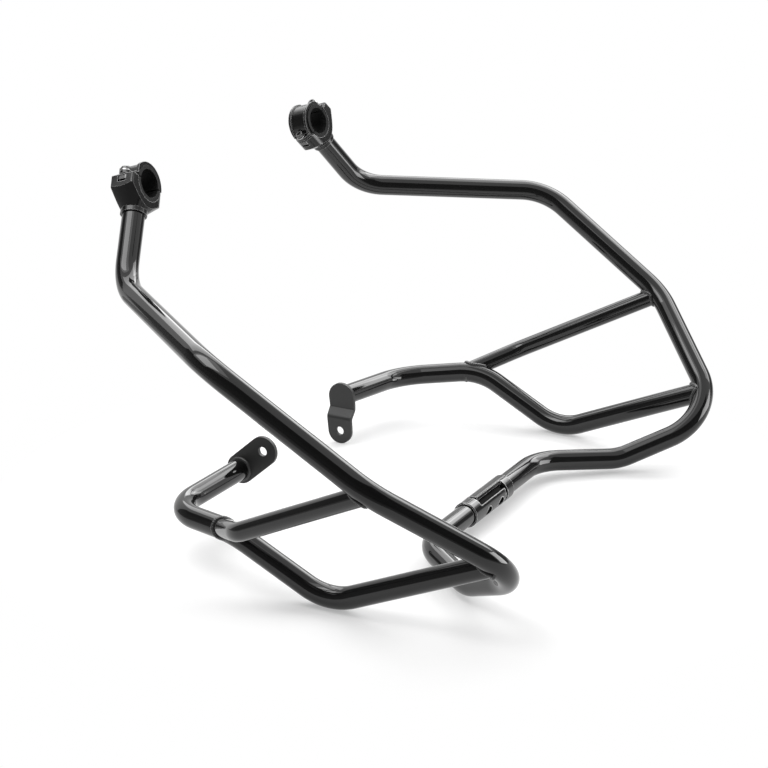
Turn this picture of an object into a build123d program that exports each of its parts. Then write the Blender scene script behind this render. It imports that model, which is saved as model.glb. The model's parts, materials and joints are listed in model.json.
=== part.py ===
from build123d import *
from math import asin, cos, degrees, radians, sin
import os

# Motorcycle crash bars: two welded halves of bent tube, joined by a bolted coupler at the front.
# X runs across the bike (+X is the rider's left), -Y is forward and Z is up, as the bars lie on a floor.
# All lengths are in millimetres.

# Tube stock
main_od = 25.4
main_wall = 2.0
lower_od = 25.0
lower_wall = 2.0
brace_od = 21.3
brace_wall = 2.0

# Corners of the main tube, from the clamp down to the coupler: half width, reach behind the coupler, height
clamp_half = 185.2
clamp_reach = 339.5
clamp_height = 393.6
shoulder_half = 260.2
shoulder_reach = 308.2
shoulder_height = 303.1
elbow_half = 403.3
elbow_reach = 111.1
elbow_height = 286.5
flank_half = 383.4
flank_reach = -58.5
flank_height = 177.1
nose_half = 274.7
nose_reach = -183.2
nose_height = 68.2
chin_half = 209.2
chin_reach = -80.8
chin_height = 16.1
inlet_half = 144.3
coupler_height = 20.4
shoulder_bend = 62.0
elbow_bend = 71.0
flank_bend = 90.0
nose_bend = 65.0
chin_bend = 57.0
inlet_bend = 63.0

# Corners of the lower tubes, from the main tube back to the mount plates
lower_start = 695.0
foot_half = 296.0
foot_reach = 36.2
foot_height = 5.6
rise_half = 300.6
rise_reach = 152.2
rise_height = 64.0
tail_half_left = 257.3
tail_reach_left = 247.8
tail_height_left = 54.6
tail_half_right = 272.0
tail_reach_right = 248.8
tail_height_right = 60.0
foot_bend = 66.0
rise_bend = 76.0
tail_bend_left = 66.0
tail_bend_right = 50.0

# The brace between the main tube and the lower tube
brace_start = 538.0
brace_half = 343.6
brace_reach = 117.8
brace_height = 86.4
brace_bend = 40.0
brace_stop = 351.0

# Mount plates
plate_half = 145.0
plate_thick = 5.0
plate_hole_d = 11.0
strip_reach = 269.2
strip_height = 58.4
strip_top_r = 17.8
strip_foot_r = 16.5
strip_foot_lead = 3.2
strip_step = 10.0
strip_bend_drop = 15.0
strip_inner_bend = 3.0
flat_reach = 240.3
flat_height = 65.1
flat_r = 17.5
flat_hole_lead = 30.2
flat_hole_rise = 26.6

# Clamps: the bore takes a frame tube that runs forward, rises and toes in
bore_toe_in = 4.8
bore_rise = 17.0
bore_d = 32.0
clamp_offset = 2.0
liner_wall = 2.5
liner_lip = 1.2
liner_lip_wall = 2.0
liner_lip_play = 0.3
clamp_width = 29.5
clamp_gap = 1.2
cap_width = 26.5
cap_wall = 4.5
cap_rim_width = 3.0
cap_rim_height = 1.6
ear_end = 5.3
base_ear = 12.0
cap_ear = 4.5
ear_round = 2.0
lug_r = 8.0
pad_wall = 1.5
pad_play = 0.2
bolt_d = 6.0
bolt_head_d = 10.0
bolt_head = 4.0
bolt_socket = 5.0
bolt_reach = 14.0
bolt_hole_end = 2.5
bolt_play = 0.4
washer_d = 11.6
washer_thick = 1.2
nut_side = 10.0
nut_thick = 5.0
nut_depth = 1.2
nut_play = 0.3
nut_room = 2.5
neck_end = 31.0
collar_end = 36.0
collar_wall = 2.2
tube_seat = 22.5
socket_play = 0.1

# Coupler: two half-lapped pieces with two bolts through the lap
coupler_d = 30.0
coupler_half = 50.0
lap_half = 33.0
lap_gap = 5.0
lap_play = 0.4
lap_chamfer = 2.6
lap_step = 7.6
lap_rib = 19.0
lap_tilt = 24.0
collar_chamfer = 1.2
groove = 2.0
spigot = 22.0
spigot_play = 0.1
lap_bolt_spacing = 32.0
lap_bolt_d = 8.0
lap_head_d = 13.0
lap_head = 5.0
lap_socket = 6.0
lap_seat = 7.0
lap_recess_d = 15.0
lap_bolt_reach = 19.0
lap_spot_depth = 2.0
lap_bolt_play = 0.3


def hexagon_key(across, depth):
    """A hexagon key's hole, seen from its mouth at Z = 0."""
    return extrude(RegularPolygon(across / 2, 6, major_radius=False), -depth)


def bent_path(corners, bends):
    """The centre line of a bent tube."""
    return FilletPolyline(*corners, radius=bends).wire()


def along(path, length):
    """The point at a length along a centre line."""
    return path.position_at(length, position_mode=PositionMode.LENGTH)


def start_plane(path):
    return Plane(origin=path.position_at(0), z_dir=path.tangent_at(0))


def tube(path, od, wall):
    ring = Circle(od / 2) - Circle(od / 2 - wall)
    return sweep(start_plane(path) * ring, path=path)


def rod(path, od):
    return sweep(start_plane(path) * Circle(od / 2), path=path)


def half_space(plane, size):
    """A large block on the plane's positive side."""
    return plane * Pos(0, 0, size / 2) * Box(2 * size, 2 * size, size)


# The clamp's own frame: Z along the bore, Y towards the tube, X from ear to ear
clamp_centre = Vector(clamp_half, clamp_reach, clamp_height)
shoulder = Vector(shoulder_half, shoulder_reach, shoulder_height)
tube_dir = (clamp_centre - shoulder).normalized()
toe = radians(bore_toe_in)
rise = radians(bore_rise)
bore_dir = Vector(-sin(toe) * cos(rise), -cos(toe) * cos(rise), sin(rise))
ear_dir = bore_dir.cross(tube_dir).normalized()
clamp_plane = Plane(origin=clamp_centre + bore_dir * clamp_offset, x_dir=ear_dir, z_dir=bore_dir)
tube_skew = degrees(asin(tube_dir.dot(bore_dir)))

# Bent tubes of the rider's left half
tube_end = coupler_half + groove
main_corners = [
    clamp_centre - tube_dir * tube_seat,
    shoulder,
    Vector(elbow_half, elbow_reach, elbow_height),
    Vector(flank_half, flank_reach, flank_height),
    Vector(nose_half, nose_reach, nose_height),
    Vector(chin_half, chin_reach, chin_height),
    Vector(inlet_half, 0, coupler_height),
    Vector(tube_end, 0, coupler_height),
]
main_bends = [shoulder_bend, elbow_bend, flank_bend, nose_bend, chin_bend, inlet_bend]
main_path = bent_path(main_corners, main_bends)
main_rod = rod(main_path, main_od)
main_tube_left = tube(main_path, main_od, main_wall)
main_tube_right = mirror(main_tube_left, about=Plane.YZ)


def lower_path(tail, plate_point, tail_bend):
    """The lower tube's centre line, on the rider's left side."""
    corners = [
        along(main_path, lower_start),
        Vector(foot_half, foot_reach, foot_height),
        Vector(rise_half, rise_reach, rise_height),
        tail,
        plate_point,
    ]
    return bent_path(corners, [foot_bend, rise_bend, tail_bend])


def lower_piece(path):
    """The lower tube, coped to the main tube and cut off flat at the mount plate."""
    plate_face = Plane(origin=(plate_half, 0, 0), z_dir=(-1, 0, 0))
    piece = tube(path, lower_od, lower_wall) - main_rod
    return piece - half_space(plate_face, 4 * plate_half)


def past_plate(tail, point):
    """A point beyond the plate's face, so that the tube's end can be cut off flat."""
    return point + (point - tail).normalized() * lower_od


tail_left = Vector(tail_half_left, tail_reach_left, tail_height_left)
strip_point = Vector(plate_half, strip_reach, strip_height)
path_left = lower_path(tail_left, past_plate(tail_left, strip_point), tail_bend_left)
lower_tube_left = lower_piece(path_left)
tail_right = Vector(tail_half_right, tail_reach_right, tail_height_right)
flat_point = Vector(plate_half, flat_reach, flat_height)
path_right = lower_path(tail_right, past_plate(tail_right, flat_point), tail_bend_right)
lower_tube_right = mirror(lower_piece(path_right), about=Plane.YZ)
floor_level = lower_tube_left.bounding_box().min.Z


def brace_piece(path):
    """The brace, coped to the main tube at the front and to the lower tube at the rear."""
    corners = [
        along(main_path, brace_start),
        Vector(brace_half, brace_reach, brace_height),
        along(path, brace_stop),
    ]
    piece = tube(bent_path(corners, [brace_bend]), brace_od, brace_wall)
    return piece - main_rod - rod(path, lower_od)


brace_tube_left = brace_piece(path_left)
brace_tube_right = mirror(brace_piece(path_right), about=Plane.YZ)

# Mount plate on the rider's left: a strip with a joggle, whose foot is level with the lower tubes
strip_foot_height = floor_level + strip_foot_r
strip_face = Plane(origin=(plate_half, 0, 0), x_dir=(0, 1, 0), z_dir=(1, 0, 0))
strip_top = Pos(strip_reach, strip_height) * Circle(strip_top_r)
strip_foot = Pos(strip_reach - strip_foot_lead, strip_foot_height) * Circle(strip_foot_r)
strip_hole = Pos(strip_reach - strip_foot_lead, strip_foot_height) * Circle(plate_hole_d / 2)
strip_outline = make_hull(strip_top.edges() + strip_foot.edges()) - strip_hole
strip_depth = strip_step + 2 * plate_thick
strip_blank = extrude(strip_face * strip_outline, -2 * strip_depth)
strip_side = Plane(origin=(plate_half - plate_thick / 2, 0, 0), x_dir=(1, 0, 0), z_dir=(0, -1, 0))
strip_line = strip_side * Polyline(
    (0, strip_height + 2 * strip_top_r),
    (0, strip_height - strip_bend_drop),
    (-strip_step, strip_height - strip_bend_drop - strip_step),
    (-strip_step, strip_foot_height - 2 * strip_foot_r),
)
strip_line = FilletPolyline(
    *[v.center() for v in strip_line.vertices()], radius=strip_inner_bend + plate_thick / 2
).wire()
strip_bar = Plane(origin=strip_line.position_at(0), x_dir=(1, 0, 0), z_dir=(0, 0, -1))
strip_section = strip_bar * Pos(0, -strip_reach) * Rectangle(plate_thick, 4 * strip_top_r)
strip_bent = sweep(strip_section, path=strip_line)
mount_plate_left = strip_blank & strip_bent

# Mount plate on the rider's right: flat, with round ends
flat_face = Plane(origin=(-plate_half, 0, 0), x_dir=(0, 1, 0), z_dir=(1, 0, 0))
flat_end = Pos(flat_reach, flat_height) * Circle(flat_r)
flat_eye = Pos(flat_reach - flat_hole_lead, flat_height + flat_hole_rise) * Circle(flat_r)
flat_hole = Pos(flat_reach - flat_hole_lead, flat_height + flat_hole_rise) * Circle(plate_hole_d / 2)
flat_outline = make_hull(flat_end.edges() + flat_eye.edges()) - flat_hole
mount_plate_right = extrude(flat_face * flat_outline, plate_thick)

# Clamp pieces, in the clamp's own frame
liner_r = bore_d / 2 + liner_wall
pad_r = washer_d / 2 + pad_play
bolt_offset = liner_r + pad_wall + pad_r
ear_span = bolt_offset + ear_end
split = clamp_gap / 2
tube_side = Plane(origin=(0, split, 0), x_dir=(1, 0, 0), z_dir=(0, 1, 0))
cap_side = Plane(origin=(0, -split, 0), x_dir=(1, 0, 0), z_dir=(0, -1, 0))
reach_all = 4 * ear_span
socket_dir = Vector(0, cos(radians(tube_skew)), -sin(radians(tube_skew)))
socket_plane = Plane(origin=(0, 0, -clamp_offset), z_dir=socket_dir)
bolt_places = [Pos(bolt_offset, 0, 0), Pos(-bolt_offset, 0, 0)]
bolt_axis = Rot(90, 0, 0)
hole_r = bolt_d / 2 + bolt_play / 2


def up_to(height, shape):
    """A sketch extruded from the split plane towards the tube, or away from it if negative."""
    side = tube_side if height > 0 else cap_side
    return extrude(side * shape, abs(height) - split)


base_plan = SlotOverall(2 * ear_span, clamp_width)
base_plan = base_plan + Pos(-ear_span / 2, 0) * RectangleRounded(ear_span, clamp_width, ear_round)
base_ears = up_to(base_ear, base_plan)
collar_r = main_od / 2 + collar_wall
neck_blank = extrude(tube_side * base_plan, reach_all)
neck_r = (ear_span**2 + (clamp_width / 2) ** 2) ** 0.5
neck_points = [(0, 0), (neck_r, 0), (neck_r, base_ear), (collar_r, neck_end), (0, neck_end)]
neck_profile = Polygon(*neck_points, align=None)
neck = socket_plane.location * revolve(Plane.XZ * neck_profile, Axis.Z) & neck_blank
collar = extrude(socket_plane.offset(neck_end) * Circle(collar_r), collar_end - neck_end)
socket = extrude(socket_plane.offset(tube_seat) * Circle(main_od / 2 + socket_play / 2), reach_all)
lip_room_r = liner_r + liner_lip_wall + liner_lip_play
lip_room = Cylinder(lip_room_r, reach_all) - Cylinder(lip_room_r, cap_width)
clamp_base = base_ears + neck + collar - Cylinder(liner_r, reach_all) - lip_room - socket
nut_top = split + nut_depth
hole_end = nut_top + nut_thick + nut_room + bolt_hole_end
for place in bolt_places:
    side = 1 if place.position.X > 0 else -1
    pocket = Box(ear_span, nut_thick + nut_room, nut_side + 2 * nut_play)
    pocket_x = side * (bolt_offset - nut_side / 2 - nut_play + ear_span / 2)
    clamp_base -= Pos(pocket_x, nut_top + (nut_thick + nut_room) / 2, 0) * pocket
    clamp_base -= extrude(tube_side * Pos(place.position.X, 0) * Circle(hole_r), hole_end - split)

cap_r = liner_r + cap_wall
cap_ring = Cylinder(cap_r, cap_width)
rim = Cylinder(cap_r + cap_rim_height, cap_rim_width)
rim_shift = (cap_width - cap_rim_width) / 2
cap_ring = cap_ring + Pos(0, 0, rim_shift) * rim + Pos(0, 0, -rim_shift) * rim
cap_ring = cap_ring & half_space(cap_side, reach_all)
tongue_plan = SlotOverall(2 * ear_span, cap_width) & Pos(ear_span / 2, 0) * Rectangle(ear_span, cap_width)
lug_plan = SlotOverall(2 * ear_span, 2 * lug_r) & Pos(-ear_span / 2, 0) * Rectangle(ear_span, 2 * lug_r)
clamp_cap = up_to(-cap_ear, tongue_plan + lug_plan) + cap_ring
pad_plane = Plane(origin=(0, -cap_ear, 0), x_dir=(1, 0, 0), z_dir=(0, -1, 0))
pad_x = pad_r - bolt_offset - ear_span / 2
clamp_cap -= extrude(pad_plane * Pos(pad_x, 0) * Rectangle(ear_span, 2 * clamp_width), reach_all)
clamp_cap -= extrude(pad_plane * Pos(bolt_offset, 0) * Circle(pad_r), reach_all)
for place in bolt_places:
    clamp_cap -= place * bolt_axis * Cylinder(hole_r, reach_all)
clamp_cap -= Cylinder(liner_r, reach_all)

liner_length = cap_width + 2 * liner_lip
liner = Cylinder(liner_r, liner_length) - Cylinder(bore_d / 2, 2 * liner_length)
lip = Cylinder(liner_r + liner_lip_wall, liner_lip) - Cylinder(bore_d / 2, 2 * liner_length)
lip_shift = (cap_width + liner_lip) / 2
liner = liner + Pos(0, 0, lip_shift) * lip + Pos(0, 0, -lip_shift) * lip
liner_base = liner & half_space(tube_side, reach_all)
liner_cap = liner & half_space(cap_side, reach_all)

bolt_frame = Plane(origin=(0, -cap_ear - washer_thick, 0), z_dir=(0, -1, 0))
bolt = extrude(bolt_frame * Circle(bolt_head_d / 2), bolt_head)
bolt = bolt + extrude(bolt_frame * Circle(bolt_d / 2), -bolt_reach)
bolt = bolt - bolt_frame * Pos(0, 0, bolt_head) * hexagon_key(bolt_socket, bolt_head / 2)
washer_frame = Plane(origin=(0, -cap_ear, 0), z_dir=(0, -1, 0))
washer = extrude(washer_frame * (Circle(washer_d / 2) - Circle(hole_r)), washer_thick)
nut = Pos(0, nut_top + nut_thick / 2, 0) * Box(nut_side, nut_thick, nut_side)
nut = nut - bolt_axis * Cylinder(bolt_d / 2, 4 * nut_thick)


def both_sides(piece):
    """A clamp piece placed on both halves."""
    placed = clamp_plane.location * piece
    return placed, mirror(placed, about=Plane.YZ)


clamp_base_left, clamp_base_right = both_sides(clamp_base)
clamp_cap_left, clamp_cap_right = both_sides(clamp_cap)
liner_base_left, liner_base_right = both_sides(liner_base)
liner_cap_left, liner_cap_right = both_sides(liner_cap)


def at_bolts(piece):
    """Like fasteners on both halves, as one group of solids."""
    solids = []
    for place in bolt_places:
        for placed in both_sides(place * piece):
            solids += placed.solids()
    return Compound(children=solids)


clamp_bolts = at_bolts(bolt)
clamp_washers = at_bolts(washer)
clamp_nuts = at_bolts(nut)

# Coupler, with X along the tubes and Z square to the lap, towards the bolt heads
coupler_frame = Plane(
    origin=(0, 0, coupler_height),
    x_dir=(1, 0, 0),
    z_dir=(0, -cos(radians(lap_tilt)), -sin(radians(lap_tilt))),
)
across = Rot(0, 90, 0)
lap_length = 2 * lap_half - lap_gap
front_half = Plane(origin=(0, 0, lap_play / 2), z_dir=(0, 0, 1))


def coupler_piece(with_heads):
    """One coupler half: its collar lies at -X and its tongue on the +Z side."""
    collar_length = coupler_half - lap_half
    ring = across * Cylinder(coupler_d / 2, collar_length)
    ring = chamfer(ring.edges().filter_by(GeomType.CIRCLE).sort_by(Axis.X)[0], collar_chamfer)
    ring = Pos(-lap_half - collar_length / 2, 0, 0) * ring
    tongue = across * Cylinder(coupler_d / 2, lap_length) & half_space(front_half, 4 * coupler_d)
    if with_heads:
        rib = Box(lap_length, lap_rib, 2 * lap_step)
        tongue = tongue - (Box(lap_length, 2 * coupler_d, 2 * lap_step) - rib)
    else:
        long_edges = tongue.edges().filter_by(Axis.X).group_by(Axis.Z)[0]
        tongue = chamfer(long_edges, lap_chamfer)
    tongue = Pos(-lap_half + lap_length / 2, 0, 0) * tongue
    stem_r = main_od / 2 - main_wall - spigot_play / 2
    stem = across * Cylinder(stem_r, spigot + groove)
    stem = Pos(-coupler_half - (spigot + groove) / 2, 0, 0) * stem
    piece = ring + tongue + stem
    for shift in (-lap_bolt_spacing / 2, lap_bolt_spacing / 2):
        piece -= Pos(shift, 0, 0) * Cylinder(lap_bolt_d / 2 + lap_bolt_play / 2, 2 * coupler_d)
        cut_from = lap_seat if with_heads else coupler_d / 2 - lap_spot_depth
        cut = Plane(origin=(shift, 0, cut_from), z_dir=(0, 0, 1))
        piece -= extrude(cut * Circle(lap_recess_d / 2), coupler_d)
    return piece


coupler_right = coupler_frame.location * coupler_piece(True)
coupler_left = coupler_frame.location * Rot(0, 180, 0) * coupler_piece(False)
lap_frame = Plane(origin=(0, 0, lap_seat), z_dir=(0, 0, 1))
lap_bolt = extrude(lap_frame * Circle(lap_head_d / 2), lap_head)
lap_bolt = lap_bolt + extrude(lap_frame * Circle(lap_bolt_d / 2), -lap_bolt_reach)
lap_bolt = lap_bolt - lap_frame * Pos(0, 0, lap_head) * hexagon_key(lap_socket, lap_head / 2)
lap_bolt_solids = []
for shift in (-lap_bolt_spacing / 2, lap_bolt_spacing / 2):
    lap_bolt_solids += (coupler_frame.location * Pos(shift, 0, 0) * lap_bolt).solids()
coupler_bolts = Compound(children=lap_bolt_solids)

# Everything is set on the floor, with its box centred on the origin
nodes = {
    "main_tube_left": main_tube_left,
    "main_tube_right": main_tube_right,
    "lower_tube_left": lower_tube_left,
    "lower_tube_right": lower_tube_right,
    "brace_tube_left": brace_tube_left,
    "brace_tube_right": brace_tube_right,
    "mount_plate_left": mount_plate_left,
    "mount_plate_right": mount_plate_right,
    "clamp_base_left": clamp_base_left,
    "clamp_base_right": clamp_base_right,
    "clamp_cap_left": clamp_cap_left,
    "clamp_cap_right": clamp_cap_right,
    "liner_base_left": liner_base_left,
    "liner_base_right": liner_base_right,
    "liner_cap_left": liner_cap_left,
    "liner_cap_right": liner_cap_right,
    "clamp_bolts": clamp_bolts,
    "clamp_washers": clamp_washers,
    "clamp_nuts": clamp_nuts,
    "coupler_left": coupler_left,
    "coupler_right": coupler_right,
    "coupler_bolts": coupler_bolts,
}
boxes = [piece.bounding_box() for piece in nodes.values()]
front = min(box.min.Y for box in boxes)
back = max(box.max.Y for box in boxes)
bottom = min(box.min.Z for box in boxes)
to_floor = Pos(0, -(front + back) / 2, -bottom)

os.makedirs("parts", exist_ok=True)
for name, piece in nodes.items():
    export_step(to_floor * piece, f"parts/{name}.step")
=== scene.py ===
# %% [markdown]
# # Motorcycle crash bars
# Two welded halves of bent tube guard a motorcycle's engine. A bolted coupler joins them at the front, a
# split clamp at the top of each half grips the bike's frame, and a drilled plate ends each lower tube.
# The solids come from the frame, so every finished piece goes where its solid already is.

# %% Load the frame
import json
import math

import bmesh
import bpy
from mathutils import Matrix, Quaternion, Vector

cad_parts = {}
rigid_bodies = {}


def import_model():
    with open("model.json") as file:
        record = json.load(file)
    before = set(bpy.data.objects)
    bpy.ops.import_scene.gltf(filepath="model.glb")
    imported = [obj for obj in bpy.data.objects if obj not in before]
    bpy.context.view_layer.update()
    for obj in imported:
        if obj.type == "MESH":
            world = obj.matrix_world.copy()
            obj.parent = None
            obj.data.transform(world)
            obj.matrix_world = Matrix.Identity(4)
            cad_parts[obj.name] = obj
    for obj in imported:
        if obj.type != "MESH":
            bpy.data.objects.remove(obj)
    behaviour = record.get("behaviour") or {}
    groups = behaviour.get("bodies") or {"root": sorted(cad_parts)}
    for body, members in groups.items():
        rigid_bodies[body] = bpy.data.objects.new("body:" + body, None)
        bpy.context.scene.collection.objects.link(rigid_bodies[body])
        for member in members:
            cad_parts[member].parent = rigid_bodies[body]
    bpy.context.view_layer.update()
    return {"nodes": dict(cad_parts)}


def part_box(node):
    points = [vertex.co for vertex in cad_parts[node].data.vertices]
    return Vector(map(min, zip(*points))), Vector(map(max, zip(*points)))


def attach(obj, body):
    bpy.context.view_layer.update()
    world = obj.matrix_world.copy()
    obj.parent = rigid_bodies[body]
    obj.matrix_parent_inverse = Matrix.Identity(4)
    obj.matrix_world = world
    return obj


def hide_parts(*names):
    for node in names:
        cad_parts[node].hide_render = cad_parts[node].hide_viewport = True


for leftover in list(bpy.data.objects):
    bpy.data.objects.remove(leftover)
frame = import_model()
scene = bpy.context.scene

# %% [markdown]
# ## One reference point
# The coupler's collars are round and lie on the bars' centre line, so the middle of the coupler is the point
# that all other places are measured from. Sizes are written in millimetres, as on a drawing, and one factor
# turns them into metres.

# %% The coupler's axis and a way to measure from it
MM = 0.001
LEFT = 1
RIGHT = -1
coupler_height = 20.4
collar_low, collar_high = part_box("coupler_left")
coupler_centre = Vector((0, (collar_low.y + collar_high.y) / 2, (collar_low.z + collar_high.z) / 2))


def place(half, reach, height, side=LEFT):
    """A point half a width out, behind the coupler and above the drawing's base line, in millimetres."""
    return coupler_centre + Vector((side * half, reach, height - coupler_height)) * MM


print("coupler centre", [round(v, 4) for v in coupler_centre])

# %% [markdown]
# ## Camera
# The photograph was taken with a long lens from ahead of the bars and to one side, looking down a little. The
# camera could be aimed with a constraint, but a heading and a dip say more plainly how it stands. It is
# turned first, and then moved until the coupler is where the picture shows it.

# %% Camera
camera_dip = 19.2263
camera_heading = -61.5976
camera_lens = 99.147
camera_sensor = 36.0
coupler_in_view = Vector((115.998, -134.945, -2444.667)) * MM
camera_data = bpy.data.cameras.new("studio_camera")
camera_data.lens = camera_lens
camera_data.sensor_width = camera_sensor
camera = bpy.data.objects.new("studio_camera", camera_data)
scene.collection.objects.link(camera)
heading_turn = Matrix.Rotation(math.radians(camera_heading), 3, "Z")
dip_turn = Matrix.Rotation(math.radians(90 - camera_dip), 3, "X")
camera_turn = heading_turn @ dip_turn
camera_spot = coupler_centre - camera_turn @ coupler_in_view
camera.matrix_world = Matrix.Translation(camera_spot) @ camera_turn.to_4x4()
scene.camera = camera
print("camera at", [round(v, 3) for v in camera.location])

# %% [markdown]
# ## Helpers for node trees
# Materials and Geometry Nodes are both trees of nodes. One helper adds a node, sets its options and fills its
# inputs, either with a value or with a wire from another node, so each tree below reads like a recipe. A few
# more helpers stand for the nodes that are used most.

# %% Helpers for node trees


def add_node(tree, kind, inputs=None, **options):
    """Add a node; an input that is a socket becomes a wire, anything else a value."""
    node = tree.nodes.new(kind)
    for option, value in options.items():
        setattr(node, option, value)
    for key, value in (inputs or {}).items():
        if isinstance(value, bpy.types.NodeSocket):
            tree.links.new(value, node.inputs[key])
        else:
            node.inputs[key].default_value = value
    return node


def calc(tree, operation, first, second=0.0):
    """One step of arithmetic on numbers."""
    return add_node(tree, "ShaderNodeMath", {0: first, 1: second}, operation=operation).outputs[0]


def calc_vector(tree, operation, first, second):
    """One step of arithmetic on vectors; SCALE takes a number as its second value."""
    key = "Scale" if operation == "SCALE" else 1
    return add_node(tree, "ShaderNodeVectorMath", {0: first, key: second}, operation=operation).outputs[0]


def measure(tree, operation, *vectors):
    """A number taken from vectors, such as a LENGTH or a DOT_PRODUCT."""
    inputs = dict(enumerate(vectors))
    return add_node(tree, "ShaderNodeVectorMath", inputs, operation=operation).outputs["Value"]


def spread(tree, value, start, end, low, high):
    """A number moved from the range start to end into the range low to high."""
    return add_node(tree, "ShaderNodeMapRange", {
        "Value": value, "From Min": start, "From Max": end, "To Min": low, "To Max": high}).outputs["Result"]


def mix(tree, kind, factor, first, second):
    """A blend of two numbers (FLOAT) or of two colours (RGBA)."""
    node = add_node(tree, "ShaderNodeMix", {"Factor": factor, "A": first, "B": second}, data_type=kind)
    return node.outputs["Result"]


def clear_tree(owner):
    """The node tree of a material or a world, emptied."""
    owner.use_nodes = True
    owner.node_tree.nodes.clear()
    return owner.node_tree


# %% [markdown]
# ## Finishes
# The tubes are steel under a gloss black powder coat. Such a coat is never optically flat: it has a soft
# orange peel a millimetre or two across, and slow changes in thickness. A picture of a coat could be wrapped
# round the tubes, but noise in the shader has no seams and keeps its scale. A clear layer over a dark base
# gives the sharp reflections, and two scales of noise give the peel.
# The other finishes use the same recipe with other numbers. Edges catch the light, so a Bevel node softens
# each edge and also gives the mask for a thin light grey line painted along it, a painted highlight.

# %% The recipe for a finish
drift_scale = 14.0
drift_range = (0.3, 0.7)
edge_samples = 8
# Cosines of how far the softened normal leans where the painted edge highlight begins, and where it is full.
highlight_starts = 0.98
highlight_full = 0.92


def grey(value):
    return (value, value, value, 1)


def noise(tree, spot, scale, detail):
    inputs = {"Vector": spot, "Scale": scale, "Detail": detail}
    return add_node(tree, "ShaderNodeTexNoise", inputs).outputs["Fac"]


def relief(tree, height, depth, normal):
    """Bumps with a depth in millimetres, on top of a normal."""
    return add_node(tree, "ShaderNodeBump", {
        "Height": height, "Distance": depth * MM, "Strength": 1.0, "Normal": normal}).outputs[0]


def finish(name, shade, rough, grain, wave, edge, **constants):
    """A coat whose shade and gloss drift slowly, with a fine grain over a longer wave.

    The pairs are the darkest and lightest grey, the lowest and highest roughness, the size and depth of the
    grain and of the wave, and the width of the rounded edges with the grey of the highlight painted along
    them.
    Lengths are in millimetres.
    """
    material = bpy.data.materials.new(name)
    tree = clear_tree(material)
    spot = add_node(tree, "ShaderNodeTexCoord").outputs["Object"]
    drift = noise(tree, spot, drift_scale, detail=3.0)
    speck = noise(tree, spot, 1 / (grain[0] * MM), detail=2.0)
    swell = noise(tree, spot, 1 / (wave[0] * MM), detail=1.0)
    soft_edge = add_node(tree, "ShaderNodeBevel", {"Radius": edge[0] * MM}, samples=edge_samples).outputs[0]
    face_way = add_node(tree, "ShaderNodeNewGeometry").outputs["Normal"]
    # Near an edge the base colour is mixed towards a lighter grey: a painted highlight along the edge.
    alike = measure(tree, "DOT_PRODUCT", soft_edge, face_way)
    painted_edge_highlight = spread(tree, alike, highlight_starts, highlight_full, 0.0, 1.0)
    coat = mix(tree, "RGBA", drift, grey(shade[0]), grey(shade[1]))
    shader = add_node(tree, "ShaderNodeBsdfPrincipled", {
        "Base Color": mix(tree, "RGBA", painted_edge_highlight, coat, grey(edge[1])),
        "Roughness": spread(tree, drift, *drift_range, *rough),
        "Normal": relief(tree, speck, grain[1], relief(tree, swell, wave[1], soft_edge)),
        **constants})
    add_node(tree, "ShaderNodeOutputMaterial", {"Surface": shader.outputs[0]})
    return material


def clear_layer(roughness, ior=1.5):
    """A clear layer over a base that has no shine of its own."""
    return {"Coat Weight": 1.0, "Coat Roughness": roughness, "Coat IOR": ior, "Specular IOR Level": 0.0}


# %% [markdown]
# ## The nine finishes
# The gloss coat is on the tubes. On the weld beads it is rougher, and its lighter grey base is painted sheen
# for the glints on the bead's ripples. The coupler is forged, and the light grey along its lips is a painted
# highlight. The flat faces between its tongues lie deep in the joint, and a matt finish there paints the
# groove's shade. The clamps are cast alloy under the same black, with a painted highlight along their edges,
# the plates are satin, the liners are rubber, and the fasteners are dark or bright plated steel. Nine trees
# of their own would differ only in their numbers, so each finish is one call of the recipe.

# %% The finishes
gloss_coat = finish(
    "gloss_black_coat", shade=(0.006, 0.009), rough=(0.22, 0.30), grain=(1.1, 0.004), wave=(9.0, 0.010),
    edge=(0.3, 0.008), **clear_layer(0.05))
# The coupler's edges get a wide, light grey painted highlight.
forged_coat = finish(
    "forged_black_coat", shade=(0.005, 0.009), rough=(0.22, 0.30), grain=(0.8, 0.006), wave=(7.0, 0.012),
    edge=(1.8, 0.75), **clear_layer(0.09))
# The weld's lighter grey base is painted sheen, standing in for the glints on the bead's ripples.
weld_coat_painted_sheen = finish(
    "coated_weld_painted_sheen", shade=(0.03, 0.08), rough=(0.3, 0.4), grain=(0.8, 0.02), wave=(2.5, 0.05),
    edge=(0.3, 0.06), **clear_layer(0.1))
# A matt, hardly shiny finish that paints the shade of the groove between the coupler's tongues.
lap_painted_shade = finish(
    "groove_painted_shade", shade=(0.006, 0.012), rough=(0.7, 0.8), grain=(0.5, 0.01), wave=(5.0, 0.02),
    edge=(0.2, 0.02), **{"Specular IOR Level": 0.05})
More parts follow.
